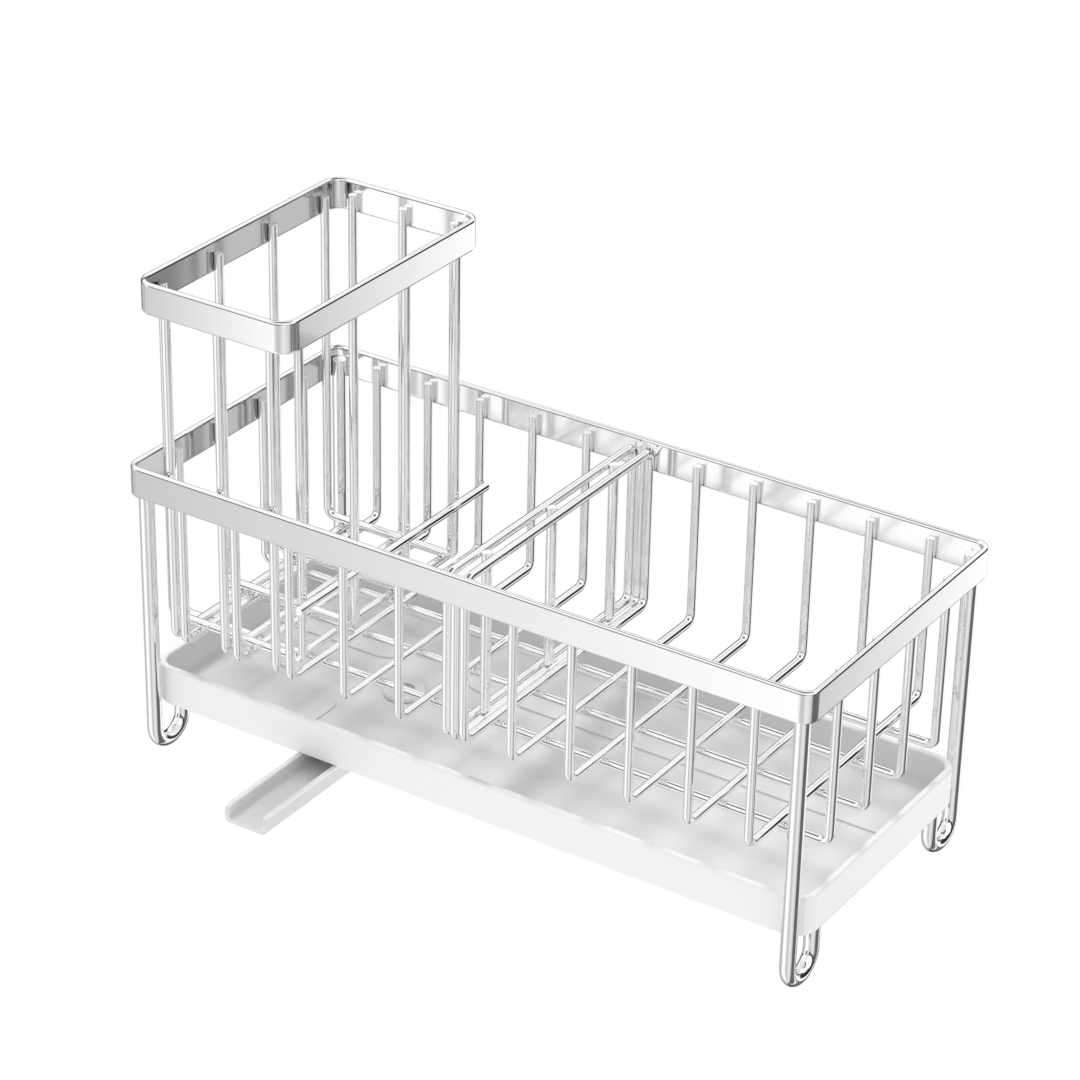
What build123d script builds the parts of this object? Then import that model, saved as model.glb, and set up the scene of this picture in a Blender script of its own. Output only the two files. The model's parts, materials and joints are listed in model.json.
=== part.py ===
from build123d import *
import os

# Kitchen sink caddy: a welded wire rack with a flat-bar rim, a lift-out brush
# basket, a lift-out divider, and a drip tray with a swivelling drain spout.
# Frame: +X along the rack, +Y to the back, +Z up. Origin on the counter plane,
# in the middle of the four feet. Millimetres.

# ---- rack -------------------------------------------------------------------
RACK_LENGTH = 250.0        # outside of the rim bar, X
RACK_DEPTH = 113.0         # outside of the rim bar, Y
RIM_TOP = 107.0            # top edge of the rim bar
BAR_HEIGHT = 10.8          # flat bar, both rims
BAR_THICK = 2.0
BAR_EDGE = 0.95            # rounding of the bar's edges
RIM_CORNER = 5.0           # outside radius of the rack rim's corners
WIRE = 3.0                 # basket wire diameter
LEG_WIRE = 5.0             # leg wire diameter
WIRE_BEND = 3.2            # centre-line bend radius of the basket wires
END_ROUND = 0.3            # rounding of the cut wire ends
WELD = 0.0                 # how far a welded wire sinks into what it touches
CROSS_COUNT = 11
CROSS_PITCH = 21.0
CROSS_Z = 47.4             # centre height of the cross wires' bottom run
WIRE_TOP = 104.1           # height of the wires' cut ends
LONG_Y = (-33.45, -11.15, 11.15, 33.45)
LONG_Z = CROSS_Z - WIRE + 2 * WELD
LEG_X = 120.0
LEG_HOOK = 14.3            # long leg to short leg, centre to centre
LEG_TOP = 103.6
GUARD_X = -60.1            # guard bar beside the brush basket
GUARD_Z = 72.8
GUARD_HALF = 52.4

# ---- divider ----------------------------------------------------------------
DIV_LOOP_X = 3.2           # centre plane of each loop
DIV_HALF = 52.7            # loop verticals, centre
DIV_BOTTOM_Z = 47.8
DIV_TOP_Z = 104.3
DIV_CORNER = 3.2
UPRIGHT_D = 3.4
UPRIGHT_Y = (-36.2, 0.0, 36.2)
UPRIGHT_FOOT = 49.3
UPRIGHT_HEAD = 105.6

# ---- brush basket -----------------------------------------------------------
BRUSH_X0, BRUSH_X1 = -119.5, -60.2
BRUSH_Y0, BRUSH_Y1 = -55.7, 49.4
BRUSH_TOP = 172.1
BRUSH_CORNER = 6.5
BRUSH_CROSS_X = (-109.6, -89.4, -69.2)     # wires that run front to back
BRUSH_LONG_Y = (-45.3, -17.1, 11.1, 39.3)  # wires that run along X
BRUSH_CROSS_Z = 47.8
BRUSH_LONG_Z = BRUSH_CROSS_Z + WIRE - 2 * WELD
BRUSH_WIRE_TOP = 168.2

# ---- drip tray --------------------------------------------------------------
TRAY_LENGTH = 247.4
TRAY_DEPTH = 98.0
TRAY_Z0, TRAY_Z1 = 17.9, 32.0
TRAY_WALL = 2.4
TRAY_CORNER = 8.0
TRAY_FLOOR = 2.0           # floor thickness under the raised pads
VALLEY_DEEP = 0.7          # drain valley between the pads
VALLEY_HALF_Y = 14.0
VALLEY_X0, VALLEY_X1 = -69.5, -45.0
PAD_CORNER = 9.0
DRAIN_X, DRAIN_Y = -56.3, 0.0
DRAIN_HOLE_R = 5.0

# ---- drain spout ------------------------------------------------------------
NECK_R = 4.75
NECK_BORE_R = 3.6
SPOUT_WIDTH = 15.6
SPOUT_WALL = 1.6
SPOUT_Z0, SPOUT_Z1 = 11.7, 17.6
SPOUT_FLOOR = 1.4
SPOUT_TIP_Y = -86.5
SPOUT_ROOF = 1.4
COLLAR_R = 7.0
COLLAR_H = 1.5


def swept(points, radius, diameter):
    """Round wire of the given diameter along a polyline with rounded corners."""
    path = FilletPolyline(*points, radius=radius)
    profile = Plane(origin=path @ 0, z_dir=path % 0) * Circle(diameter / 2)
    return sweep(profile, path=path)


def rounded_ends(solid, z, amount=END_ROUND):
    """Takes the sharp edge off the cut ends that lie in the plane z."""
    ends = [e for e in solid.edges() if e.geom_type == GeomType.CIRCLE
            and abs(e.center().Z - z) < 1e-3 and e.bounding_box().size.Z < 1e-3]
    return fillet(ends, amount) if ends else solid


def cross_wire(x, y0, y1, bottom, top):
    solid = swept([(x, y0, top), (x, y0, bottom), (x, y1, bottom), (x, y1, top)],
                  WIRE_BEND, WIRE)
    return rounded_ends(solid, top)


def long_wire(y, x0, x1, bottom, top):
    solid = swept([(x0, y, top), (x0, y, bottom), (x1, y, bottom), (x1, y, top)],
                  WIRE_BEND, WIRE)
    return rounded_ends(solid, top)


def band(x0, x1, y0, y1, top, height, thick, corner):
    """Flat bar bent on edge into a closed ring."""
    cx, cy = (x0 + x1) / 2, (y0 + y1) / 2
    outer = RectangleRounded(x1 - x0, y1 - y0, corner)
    inner = RectangleRounded(x1 - x0 - 2 * thick, y1 - y0 - 2 * thick, corner - thick)
    ring = extrude(Pos(cx, cy, top - height) * (outer - inner), amount=height)
    flat = [e for e in ring.edges() if e.bounding_box().size.Z < 1e-3]
    return fillet(flat, BAR_EDGE)


def leg(sx, sy):
    """J-shaped leg: long wire inside the rim, round the foot, short end under the tray."""
    y = sy * (RACK_DEPTH / 2 - BAR_THICK - LEG_WIRE / 2 + WELD)
    yi = y - sy * LEG_HOOK
    x = sx * LEG_X
    r = LEG_HOOK / 2
    zc = LEG_WIRE / 2 + r
    short_top = TRAY_Z0 - 0.3
    run = Line((x, y, LEG_TOP), (x, y, zc)) + ThreePointArc(
        (x, y, zc), (x, (y + yi) / 2, LEG_WIRE / 2), (x, yi, zc)) + Line(
        (x, yi, zc), (x, yi, short_top))
    profile = Plane(origin=run @ 0, z_dir=run % 0) * Circle(LEG_WIRE / 2)
    solid = sweep(profile, path=run)
    solid = rounded_ends(solid, LEG_TOP)
    return rounded_ends(solid, short_top, 0.5)


parts = {}

# rim bar of the rack
parts["rack_rim_band"] = band(-RACK_LENGTH / 2, RACK_LENGTH / 2, -RACK_DEPTH / 2,
                              RACK_DEPTH / 2, RIM_TOP, BAR_HEIGHT, BAR_THICK, RIM_CORNER)

# cross wires, front to back, welded inside the rim
half_y = RACK_DEPTH / 2 - BAR_THICK - WIRE / 2 + WELD
for i in range(CROSS_COUNT):
    x = (i - (CROSS_COUNT - 1) / 2) * CROSS_PITCH
    parts[f"cross_wire_{i + 1:02d}"] = cross_wire(x, -half_y, half_y, CROSS_Z, WIRE_TOP)

# long wires under the cross wires, up the ends inside the rim
half_x = RACK_LENGTH / 2 - BAR_THICK - WIRE / 2 + WELD
for j, y in enumerate(LONG_Y):
    parts[f"long_wire_{j + 1}"] = long_wire(y, -half_x, half_x, LONG_Z, WIRE_TOP)

for name, sx, sy in (("leg_front_left", -1, -1), ("leg_front_right", 1, -1),
                     ("leg_rear_left", -1, 1), ("leg_rear_right", 1, 1)):
    parts[name] = leg(sx, sy)

# bar that keeps the brush basket at its end of the rack
guard = Pos(GUARD_X, 0, GUARD_Z) * Rot(90, 0, 0) * Cylinder(WIRE / 2, 2 * GUARD_HALF)
parts["brush_bay_guard_bar"] = guard

# divider: two closed loops either side of the middle cross wire, three uprights between
for name, x in (("divider_loop_left", -DIV_LOOP_X), ("divider_loop_right", DIV_LOOP_X)):
    middle = Plane(origin=(x, 0, (DIV_TOP_Z + DIV_BOTTOM_Z) / 2), x_dir=(0, 1, 0),
                   z_dir=(1, 0, 0))
    loop = (middle * RectangleRounded(2 * DIV_HALF, DIV_TOP_Z - DIV_BOTTOM_Z,
                                      DIV_CORNER)).wire()
    profile = Plane(origin=loop @ 0, z_dir=loop % 0) * Circle(WIRE / 2)
    parts[name] = sweep(profile, path=loop)
for name, y in zip(("divider_upright_front", "divider_upright_middle",
                    "divider_upright_rear"), UPRIGHT_Y):
    rod = Pos(0, y, (UPRIGHT_FOOT + UPRIGHT_HEAD) / 2) * Cylinder(
        UPRIGHT_D / 2, UPRIGHT_HEAD - UPRIGHT_FOOT)
    rod = rounded_ends(rod, UPRIGHT_HEAD, 0.35)
    parts[name] = rounded_ends(rod, UPRIGHT_FOOT, 0.35)

# brush basket
parts["brush_rim_band"] = band(BRUSH_X0, BRUSH_X1, BRUSH_Y0, BRUSH_Y1, BRUSH_TOP,
                               BAR_HEIGHT, BAR_THICK, BRUSH_CORNER)
inset = BAR_THICK + WIRE / 2 - WELD
for k, x in enumerate(BRUSH_CROSS_X):
    parts[f"brush_cross_wire_{k + 1}"] = cross_wire(
        x, BRUSH_Y0 + inset, BRUSH_Y1 - inset, BRUSH_CROSS_Z, BRUSH_WIRE_TOP)
for k, y in enumerate(BRUSH_LONG_Y):
    parts[f"brush_long_wire_{k + 1}"] = long_wire(
        y, BRUSH_X0 + inset, BRUSH_X1 - inset, BRUSH_LONG_Z, BRUSH_WIRE_TOP)

# drip tray
shell = extrude(Pos(0, 0, TRAY_Z0) * RectangleRounded(TRAY_LENGTH, TRAY_DEPTH, TRAY_CORNER),
                amount=TRAY_Z1 - TRAY_Z0)
shell = fillet([e for e in shell.edges() if abs(e.center().Z - TRAY_Z0) < 1e-3
                and e.bounding_box().size.Z < 1e-3], 1.2)
pocket = extrude(Pos(0, 0, TRAY_Z0 + TRAY_FLOOR) * RectangleRounded(
    TRAY_LENGTH - 2 * TRAY_WALL, TRAY_DEPTH - 2 * TRAY_WALL, TRAY_CORNER - TRAY_WALL),
    amount=TRAY_Z1 - TRAY_Z0)
pocket = fillet([e for e in pocket.edges()
                 if abs(e.center().Z - TRAY_Z0 - TRAY_FLOOR) < 1e-3
                 and e.bounding_box().size.Z < 1e-3], 2.0)
tray = shell - pocket
tray = fillet([e for e in tray.edges() if abs(e.center().Z - TRAY_Z1) < 1e-3
               and e.bounding_box().size.Z < 1e-3], 1.0)
inner_x, inner_y = TRAY_LENGTH / 2 - TRAY_WALL - 2.2, TRAY_DEPTH / 2 - TRAY_WALL - 2.2
strip = Rectangle(2 * inner_x, 2 * VALLEY_HALF_Y)
cross = Pos((VALLEY_X0 + VALLEY_X1) / 2, 0) * Rectangle(VALLEY_X1 - VALLEY_X0, 2 * inner_y)
valley = strip + cross
bends = [v for v in valley.vertices()
         if abs(abs(v.Y) - VALLEY_HALF_Y) < 1e-3 and abs(v.X) < inner_x - 1]
valley = fillet(bends, PAD_CORNER)
tray -= extrude(Pos(0, 0, TRAY_Z0 + TRAY_FLOOR - VALLEY_DEEP) * valley, amount=3)
tray -= Pos(DRAIN_X, DRAIN_Y, TRAY_Z0) * Cylinder(DRAIN_HOLE_R, 12)
parts["drip_tray"] = tray

# drain spout: open channel, roofed at the drain, with a neck up through the tray
half_w = SPOUT_WIDTH / 2
outline = (Pos(DRAIN_X, (SPOUT_TIP_Y + DRAIN_Y) / 2) * Rectangle(
    SPOUT_WIDTH, DRAIN_Y - SPOUT_TIP_Y) + Pos(DRAIN_X, DRAIN_Y) * Circle(half_w))
spout = extrude(Pos(0, 0, SPOUT_Z0) * outline, amount=SPOUT_Z1 - SPOUT_Z0)
spout = fillet([e for e in spout.edges() if abs(e.center().Z - SPOUT_Z0) < 1e-3
                and e.bounding_box().size.Z < 1e-3
                and e.center().Y > SPOUT_TIP_Y + 1], 1.2)
inner_w = SPOUT_WIDTH - 2 * SPOUT_WALL
room = (Pos(DRAIN_X, (SPOUT_TIP_Y - 5 + DRAIN_Y) / 2) * Rectangle(
    inner_w, DRAIN_Y - SPOUT_TIP_Y + 5) + Pos(DRAIN_X, DRAIN_Y) * Circle(inner_w / 2))
hollow = extrude(Pos(0, 0, SPOUT_Z0 + SPOUT_FLOOR) * room, amount=10)
hollow = fillet([e for e in hollow.edges()
                 if abs(e.center().Z - SPOUT_Z0 - SPOUT_FLOOR) < 1e-3
                 and e.bounding_box().size.Z < 1e-3
                 and e.center().Y > SPOUT_TIP_Y - 4], 1.0)
spout -= hollow
roof_z = SPOUT_Z1 - SPOUT_ROOF
spout += Pos(DRAIN_X, DRAIN_Y, roof_z + SPOUT_ROOF / 2) * Cylinder(half_w - 0.2, SPOUT_ROOF)
neck_top = TRAY_Z0 + TRAY_FLOOR - VALLEY_DEEP + 0.3 + COLLAR_H
spout += Pos(DRAIN_X, DRAIN_Y, (roof_z + neck_top) / 2) * Cylinder(NECK_R, neck_top - roof_z)
spout -= Pos(DRAIN_X, DRAIN_Y, roof_z + 5) * Cylinder(NECK_BORE_R, 14)
# rounded-down wall tops and a bowed lip at the tip
nose = Pos(DRAIN_X, SPOUT_TIP_Y, SPOUT_Z1) * Box(SPOUT_WIDTH + 2, 6.0, 6.0)
nose -= Pos(DRAIN_X, SPOUT_TIP_Y + 3.0, SPOUT_Z1 - 3.0) * Rot(0, 90, 0) * Cylinder(3.0, SPOUT_WIDTH + 4)
nose &= Pos(DRAIN_X, SPOUT_TIP_Y + 0.5, SPOUT_Z1 - 1.0) * Box(SPOUT_WIDTH + 4, 5.0, 4.0)
spout -= nose
parts["drain_spout"] = spout

# retaining collar pressed on the neck, inside the tray
collar_z = TRAY_Z0 + TRAY_FLOOR - VALLEY_DEEP + 0.3
collar = Pos(DRAIN_X, DRAIN_Y, collar_z + COLLAR_H / 2) * Cylinder(COLLAR_R, COLLAR_H)
collar = fillet([e for e in collar.edges() if abs(e.center().Z - collar_z - COLLAR_H) < 1e-3
                 and e.geom_type == GeomType.CIRCLE], 0.9)
collar -= Pos(DRAIN_X, DRAIN_Y, collar_z + COLLAR_H / 2) * Cylinder(NECK_R, COLLAR_H + 2)
parts["drain_collar"] = collar

os.makedirs("parts", exist_ok=True)
for name, solid in parts.items():
    solid.label = name
    export_step(solid, f"parts/{name}.step")
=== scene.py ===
import bpy
import json
import math
from mathutils import Matrix, Vector


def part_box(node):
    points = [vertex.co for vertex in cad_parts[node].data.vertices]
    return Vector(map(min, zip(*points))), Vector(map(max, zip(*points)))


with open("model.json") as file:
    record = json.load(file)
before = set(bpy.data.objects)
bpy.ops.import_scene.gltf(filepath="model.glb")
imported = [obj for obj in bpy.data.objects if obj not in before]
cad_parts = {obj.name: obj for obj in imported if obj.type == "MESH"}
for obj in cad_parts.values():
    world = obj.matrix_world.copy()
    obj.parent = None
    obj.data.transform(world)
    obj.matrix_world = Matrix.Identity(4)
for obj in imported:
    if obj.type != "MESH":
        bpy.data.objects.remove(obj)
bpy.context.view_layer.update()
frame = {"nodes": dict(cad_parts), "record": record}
scene = bpy.context.scene
nodes = frame["nodes"]
bodies = frame["record"]["behaviour"]["bodies"]


# ---- small helpers for node trees -------------------------------------------
class Tree:
    def __init__(self, tree):
        self.t = tree
        tree.nodes.clear()

    def new(self, kind, **props):
        n = self.t.nodes.new(kind)
        for k, v in props.items():
            setattr(n, k, v)
        return n

    def link(self, a, b):
        self.t.links.new(a, b)

    def put(self, socket, value):
        if isinstance(value, bpy.types.NodeSocket):
            self.link(value, socket)
        else:
            socket.default_value = value

    def math(self, op, a, b=None, c=None, clamp=False):
        n = self.new("ShaderNodeMath", operation=op, use_clamp=clamp)
        self.put(n.inputs[0], a)
        if b is not None:
            self.put(n.inputs[1], b)
        if c is not None:
            self.put(n.inputs[2], c)
        return n.outputs[0]

    def step(self, value, lo, hi, out0=0.0, out1=1.0):
        """smooth ramp from out0 at lo to out1 at hi"""
        n = self.new("ShaderNodeMapRange", interpolation_type="SMOOTHSTEP")
        self.put(n.inputs["Value"], value)
        n.inputs["From Min"].default_value = lo
        n.inputs["From Max"].default_value = hi
        n.inputs["To Min"].default_value = out0
        n.inputs["To Max"].default_value = out1
        return n.outputs["Result"]

    def lin(self, value, lo, hi, out0=0.0, out1=1.0):
        n = self.new("ShaderNodeMapRange", interpolation_type="LINEAR")
        self.put(n.inputs["Value"], value)
        n.inputs["From Min"].default_value = lo
        n.inputs["From Max"].default_value = hi
        n.inputs["To Min"].default_value = out0
        n.inputs["To Max"].default_value = out1
        return n.outputs["Result"]

    def noise(self, vector, scale, detail=2.0, rough=0.5):
        n = self.new("ShaderNodeTexNoise")
        self.put(n.inputs["Vector"], vector)
        n.inputs["Scale"].default_value = scale
        n.inputs["Detail"].default_value = detail
        n.inputs["Roughness"].default_value = rough
        return n.outputs["Fac"]

    def scaled(self, vector, xyz):
        n = self.new("ShaderNodeMapping")
        self.put(n.inputs["Vector"], vector)
        n.inputs["Scale"].default_value = xyz
        return n.outputs["Vector"]

    def between(self, value, a0, a1, b0, b1):
        """0 outside a0..b1, 1 inside a1..b0"""
        up = self.step(value, a0, a1)
        down = self.step(value, b0, b1, 1.0, 0.0)
        return self.math("MULTIPLY", up, down)


def grey(t, fac):
    n = t.new("ShaderNodeCombineColor")
    for s in n.inputs[:3]:
        t.link(fac, s)
    return n.outputs[0]


# ---- materials ----------------------------------------------------------------
def steel(name, painted_reflection_spec=None, rough=(0.02, 0.05), streak=(1.0, 1.0, 1.0)):
    """Polished stainless steel. Its painted-reflection argument is a rim bar's outside box and thickness in
    metres, and how dark the painted reflection shade on the left side's inner face is at its front and back."""
    m = bpy.data.materials.new(name)
    m.use_nodes = True
    t = Tree(m.node_tree)
    out = t.new("ShaderNodeOutputMaterial")
    bsdf = t.new("ShaderNodeBsdfPrincipled")
    t.link(bsdf.outputs[0], out.inputs[0])
    co = t.new("ShaderNodeTexCoord").outputs["Object"]
    # slow cloudiness of the polish, and fine lines left by the polishing belt
    cloud = t.noise(co, 55.0, 3.0)
    fine = t.noise(t.scaled(co, streak), 2400.0, 3.0, 0.6)
    rough_mix = t.math("MULTIPLY_ADD", cloud, 0.65, t.math("MULTIPLY", fine, 0.35))
    t.link(t.lin(rough_mix, 0.3, 0.7, rough[0], rough[1]), bsdf.inputs["Roughness"])
    tone_and_painted_reflection = t.lin(rough_mix, 0.25, 0.75, 0.975, 0.955)
    # rim bars: the base colour carries a painted reflection that darkens parts of the flat faces
    if painted_reflection_spec:
        x0, x1, y0, y1, thick, left_painted_shade_front, left_painted_shade_back = painted_reflection_spec
        pos = t.new("ShaderNodeSeparateXYZ")
        t.link(co, pos.inputs[0])
        x, y = pos.outputs[0], pos.outputs[1]
        # the flat outer faces, each with a painted reflection shade from its first corner (darkest) to its
        # next (none)
        painted_darkening = None
        for along, a, b, across, edge, sign in (
                (x, x0, x1, y, y0, 1), (y, y0, y1, x, x1, -1),
                (x, x1, x0, y, y1, -1), (y, y1, y0, x, x0, 1)):
            on = t.step(across, edge + sign * 0.00004, edge + sign * 0.00014, 1.0, 0.0)
            painted_shade = t.lin(along, a, b, 0.43, 0.0)
            part = t.math("MULTIPLY", on, painted_shade)
            painted_darkening = part if painted_darkening is None else t.math("MAXIMUM", painted_darkening, part)
        # the left side's inner face: painted reflection shade, ramping from its front value to its back
        # value
        inner = x0 + thick
        on = t.math("MULTIPLY", t.step(x, inner - 0.00014, inner - 0.00004),
                    t.step(x, inner + 0.0007, inner + 0.0015, 1.0, 0.0))
        painted_shade = t.step(y, y0 + 0.13 * (y1 - y0), y0 + 0.34 * (y1 - y0), left_painted_shade_front, left_painted_shade_back)
        painted_darkening = t.math("MAXIMUM", painted_darkening, t.math("MULTIPLY", on, painted_shade))
        # the random polish tone is darkened by the painted reflection shade
        tone_and_painted_reflection = t.math("MULTIPLY", tone_and_painted_reflection, t.math("SUBTRACT", 1.0, painted_darkening))
    t.link(grey(t, tone_and_painted_reflection), bsdf.inputs["Base Color"])
    bsdf.inputs["Metallic"].default_value = 1.0
    wave = t.noise(co, 70.0, 1.0)
    b1 = t.new("ShaderNodeBump")
    b1.inputs["Strength"].default_value = 1.0
    b1.inputs["Distance"].default_value = 0.000007
    t.link(wave, b1.inputs["Height"])
    b2 = t.new("ShaderNodeBump")
    b2.inputs["Strength"].default_value = 0.03
    b2.inputs["Distance"].default_value = 0.0000016
    t.link(fine, b2.inputs["Height"])
    t.link(b1.outputs[0], b2.inputs["Normal"])
    t.link(b2.outputs[0], bsdf.inputs["Normal"])
    return m


def plastic(name, base=(0.9, 0.9, 0.9), rough=(0.3, 0.42), tray=None, edge=None):
    """White moulded plastic with a fine satin texture. tray is a tray's outside box and wall
    thickness, inside which a painted shade makes it a little greyer; edge is a height below which a painted
    shade makes it greyer."""
    m = bpy.data.materials.new(name)
    m.use_nodes = True
    t = Tree(m.node_tree)
    out = t.new("ShaderNodeOutputMaterial")
    bsdf = t.new("ShaderNodeBsdfPrincipled")
    t.link(bsdf.outputs[0], out.inputs[0])
    co = t.new("ShaderNodeTexCoord").outputs["Object"]
    cloud = t.noise(co, 28.0, 3.0)
    grain = t.noise(co, 2600.0, 2.0, 0.55)
    tint = t.new("ShaderNodeMix", data_type="RGBA")
    t.link(t.lin(cloud, 0.3, 0.7), tint.inputs["Factor"])
    tint.inputs["A"].default_value = (*[c * 0.985 for c in base], 1)
    tint.inputs["B"].default_value = (*base, 1)
    painted_shade = None
    pos = t.new("ShaderNodeSeparateXYZ")
    t.link(co, pos.inputs[0])
    if tray:
        x0, x1, y0, y1, wall = tray
        # painted shade: the tray's inside, shaded by the rack above it, is 10 % darker
        inside = t.math(
            "MULTIPLY",
            t.between(pos.outputs[0], x0 + wall - 0.0005, x0 + wall, x1 - wall, x1 - wall + 0.0005),
            t.between(pos.outputs[1], y0 + wall - 0.0005, y0 + wall, y1 - wall, y1 - wall + 0.0005))
        painted_shade = t.lin(inside, 0.0, 1.0, 1.0, 0.9)
    elif edge:
        # painted shade: darker below the edge height, so the up-facing top stays lighter
        painted_shade = t.step(pos.outputs[2], edge - 0.0005, edge, 0.84, 1.0)
    if painted_shade is None:
        t.link(tint.outputs["Result"], bsdf.inputs["Base Color"])
    else:
        tint_with_painted_shade = t.new("ShaderNodeMix", data_type="RGBA", blend_type="MULTIPLY")
        tint_with_painted_shade.inputs["Factor"].default_value = 1.0
        t.link(tint.outputs["Result"], tint_with_painted_shade.inputs["A"])
        t.link(grey(t, painted_shade), tint_with_painted_shade.inputs["B"])
        t.link(tint_with_painted_shade.outputs["Result"], bsdf.inputs["Base Color"])
    t.link(t.lin(t.math("MULTIPLY_ADD", cloud, 0.5, t.math("MULTIPLY", grain, 0.5)),
                 0.35, 0.65, rough[0], rough[1]), bsdf.inputs["Roughness"])
    bsdf.inputs["IOR"].default_value = 1.49
    bump = t.new("ShaderNodeBump")
    bump.inputs["Strength"].default_value = 0.25
    bump.inputs["Distance"].default_value = 0.00001
    t.link(grain, bump.inputs["Height"])
    t.link(bump.outputs[0], bsdf.inputs["Normal"])
    return m


def outline(node):
    lo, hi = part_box(node)
    return lo.x, hi.x, lo.y, hi.y


# the rim bars carry a painted reflection in their base colour; the last two numbers set how dark the painted
# shade on the left inner face is at its front and back
mat_rim = steel("rim_steel", (*outline("rack_rim_band"), 0.002, 0.37, 0.5), rough=(0.07, 0.11), streak=(0.05, 0.05, 1.0))
mat_brush_rim = steel("brush_rim_steel", (*outline("brush_rim_band"), 0.002, 0.78, 0.5), rough=(0.07, 0.11), streak=(0.05, 0.05, 1.0))
mat_cross = steel("cross_wire_steel", rough=(0.05, 0.09), streak=(1.0, 0.04, 1.0))
mat_long = steel("long_wire_steel", rough=(0.05, 0.09), streak=(0.04, 1.0, 1.0))
mat_leg = steel("leg_steel", rough=(0.03, 0.06), streak=(1.0, 1.0, 0.04))
# the tray gets painted shade on its inside, the spout painted shade below its top edge
mat_tray = plastic("tray_plastic_white", rough=(0.16, 0.24), tray=(*outline("drip_tray"), 0.0024))
mat_spout = plastic("spout_plastic_white", edge=0.0172)

for name, obj in nodes.items():
    if name == "rack_rim_band":
        m = mat_rim
    elif name == "brush_rim_band":
        m = mat_brush_rim
    elif name.startswith(("cross_wire", "brush_cross_wire", "divider_loop", "brush_bay")):
        m = mat_cross
    elif name.startswith(("long_wire", "brush_long_wire")):
        m = mat_long
    elif name.startswith(("leg_", "divider_upright")):
        m = mat_leg
    elif name == "drip_tray":
        m = mat_tray
    else:
        m = mat_spout
    obj.data.materials.clear()
    obj.data.materials.append(m)

# ---- studio ---------------------------------------------------------------------
world = bpy.data.worlds.new("studio")
scene.world = world
world.use_nodes = True
t = Tree(world.node_tree)
out = t.new("ShaderNodeOutputWorld")
direction = t.new("ShaderNodeTexCoord").outputs["Generated"]
sep = t.new("ShaderNodeSeparateXYZ")
t.link(direction, sep.inputs[0])
dx, dy, dz = sep.outputs
el = t.math("MULTIPLY", t.math("ARCSINE", dz), 180 / math.pi)
az = t.math("MULTIPLY", t.math("ARCTAN2", dy, dx), 180 / math.pi)
# pale cyclorama below, as seen in the steel, by azimuth
ramp = t.new("ShaderNodeValToRGB")
ramp.color_ramp.interpolation = "LINEAR"
stops = [(-180, .5), (-158, .5), (-148, .8), (-140, 1.0), (-108, 1.0), (-98, .85), (-90, .62),
         (-76, .52), (-66, .62), (-50, .8), (-34, .74), (-20, .6), (-12, .5), (-9, .16), (4, .12),
         (22, .12), (38, .15), (43.5, .2), (46.5, .6), (50, 1.0), (92, 1.0), (104, .5), (112, .24),
         (136, .24), (144, .38), (158, .5), (180, .5)]
els = ramp.color_ramp.elements
while len(els) > 1:
    els.remove(els[-1])
for i, (a, v) in enumerate(stops):
    e = els[0] if i == 0 else els.new((a + 180) / 360)
    e.position = (a + 180) / 360
    e.color = (v, v, v, 1)
t.link(t.lin(az, -180, 180), ramp.inputs[0])
low = ramp.outputs[0]
low_v = t.math("MULTIPLY", low, 1.0)
# dark sweep low down at the back, and the dark side of the room
back = t.math("MULTIPLY", t.between(az, 50, 62, 118, 128), t.step(el, -36, -32, 1.0, 0.0))
low_v = t.math("MULTIPLY", low_v, t.math("SUBTRACT", 1.0, t.math("MULTIPLY", back, 0.85)))
# upper room: white, with a dark opening overhead and a fine seam in the ceiling cloth
overhead = t.math("MULTIPLY", t.step(el, 59.0, 60.5), 0.8)
seam = t.math("MULTIPLY", t.between(el, 36, 38, 39.5, 41.5), 0.4)
high_v = t.math("SUBTRACT", 1.0, t.math("MAXIMUM", overhead, seam))
up = t.step(el, -2, 2)
room = t.math("ADD", t.math("MULTIPLY", high_v, up),
              t.math("MULTIPLY", low_v, t.math("SUBTRACT", 1.0, up)))
# dark horizon: a line all round, black behind, wide and black to the right, a soft grey at the camera's side
line_round = t.math("MULTIPLY", t.between(el, -9, -6, 3, 6), 0.93)
line_left = t.math("MULTIPLY", t.math("MULTIPLY", t.between(el, -14, -10, 8, 12), 0.95),
                   t.math("MAXIMUM", t.step(az, 126, 134), t.step(az, -176, -168, 1.0, 0.0)))
wide_back = t.math("MULTIPLY", t.math("MULTIPLY", t.between(el, -45, -40, 12, 18),
                                      t.step(el, -17, -11, 0.3, 0.95)),
                   t.between(az, 96, 108, 138, 146))
wide_right = t.math("MULTIPLY", t.math("MULTIPLY", t.between(el, -20, -15, 17, 25), 0.97),
                    t.between(az, 12, 26, 66, 84))
front_grey = t.math("MULTIPLY", t.math("MULTIPLY", t.between(el, -22, -15, 9, 16), 0.8),
                    t.between(az, -128, -125, -70, -50))
not_front = t.math("SUBTRACT", 1.0, t.between(az, -160, -150, -112, -100))
line_round = t.math("MULTIPLY", line_round, not_front)
horizon = t.math("MAXIMUM", line_round, t.math("MAXIMUM", wide_right, front_grey))
horizon = t.math("MAXIMUM", horizon, t.math("MAXIMUM", wide_back, line_left))
room = t.math("MULTIPLY", room, t.math("SUBTRACT", 1.0, horizon))
path = t.new("ShaderNodeLightPath")
bg_room = t.new("ShaderNodeBackground")
t.link(grey(t, room), bg_room.inputs["Color"])
bg_room.inputs["Strength"].default_value = 1.05
bg_plain = t.new("ShaderNodeBackground")
bg_plain.inputs["Color"].default_value = (1, 1, 1, 1)
bg_plain.inputs["Strength"].default_value = 1.0
mix = t.new("ShaderNodeMixShader")
t.link(path.outputs["Is Glossy Ray"], mix.inputs[0])
t.link(bg_plain.outputs[0], mix.inputs[1])
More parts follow.
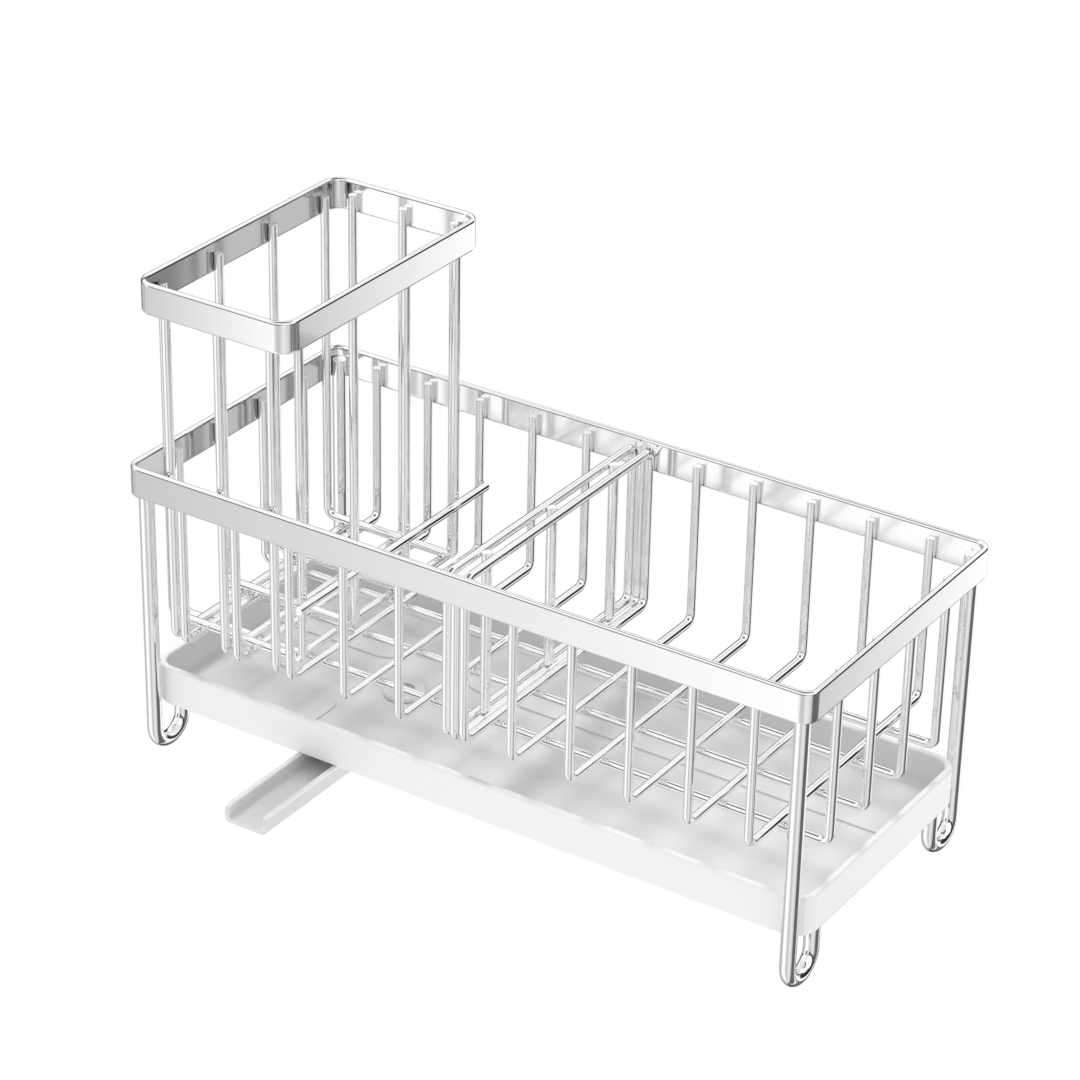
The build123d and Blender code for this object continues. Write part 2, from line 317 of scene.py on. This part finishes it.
t.link(bg_room.outputs[0], mix.inputs[2])
bg_soft = t.new("ShaderNodeBackground")
bg_soft.inputs["Color"].default_value = (1, 1, 1, 1)
t.link(t.step(el, 5.0, 50.0, 0.95, 0.62), bg_soft.inputs["Strength"])
mix2 = t.new("ShaderNodeMixShader")
t.link(path.outputs["Is Diffuse Ray"], mix2.inputs[0])
t.link(mix.outputs[0], mix2.inputs[1])
t.link(bg_soft.outputs[0], mix2.inputs[2])
t.link(mix2.outputs[0], out.inputs[0])

# floor
bpy.ops.mesh.primitive_plane_add(size=12.0, location=(0, 0, 0))
floor = bpy.context.object
floor.name = "studio_floor"
fm = bpy.data.materials.new("floor_white")
fm.use_nodes = True
t = Tree(fm.node_tree)
out = t.new("ShaderNodeOutputMaterial")
em = t.new("ShaderNodeEmission")
em.inputs["Color"].default_value = (1, 1, 1, 1)
bounce = t.new("ShaderNodeLightPath").outputs["Is Diffuse Ray"]
t.link(t.math("MULTIPLY_ADD", bounce, 0.10, 1.0), em.inputs["Strength"])
t.link(em.outputs[0], out.inputs[0])
floor.data.materials.append(fm)
floor.visible_glossy = False
floor.visible_shadow = False


def area(name, location, target, size, power):
    light = bpy.data.lights.new(name, "AREA")
    light.shape = "RECTANGLE"
    light.size, light.size_y = size
    light.energy = power
    ob = bpy.data.objects.new(name, light)
    scene.collection.objects.link(ob)
    ob.location = location
    ob.rotation_euler = (Vector(target) - Vector(location)).to_track_quat("-Z", "Y").to_euler()
    ob.visible_glossy = False
    ob.visible_camera = False
    return ob


area("key_softbox", (-0.35, 0.25, 1.1), (0, 0, 0.05), (0.5, 0.5), 7.4)

# ---- camera at the photograph's angle --------------------------------------------
CAM = (0.5352377, -0.8377993, 0.6262256)
YAW, PITCH, ROLL = math.radians(32.7796), math.radians(28.1697), math.radians(1.2125)
FOCAL = 3602.0 / 1080.0
fwd = Vector((-math.sin(YAW) * math.cos(PITCH), math.cos(YAW) * math.cos(PITCH), -math.sin(PITCH)))
right = Vector((math.cos(YAW), math.sin(YAW), 0.0))
upv = right.cross(fwd)
r2 = math.cos(ROLL) * right + math.sin(ROLL) * upv
u2 = -math.sin(ROLL) * right + math.cos(ROLL) * upv
cam_data = bpy.data.cameras.new("camera")
cam_data.sensor_width = 36.0
cam_data.lens = FOCAL * 36.0
cam_data.clip_start, cam_data.clip_end = 0.05, 50.0
cam = bpy.data.objects.new("camera", cam_data)
scene.collection.objects.link(cam)
m4 = Matrix((
    (r2.x, u2.x, -fwd.x, CAM[0]),
    (r2.y, u2.y, -fwd.y, CAM[1]),
    (r2.z, u2.z, -fwd.z, CAM[2]),
    (0, 0, 0, 1)))
cam.matrix_world = m4
scene.camera = cam
scene.view_settings.view_transform = "Standard"
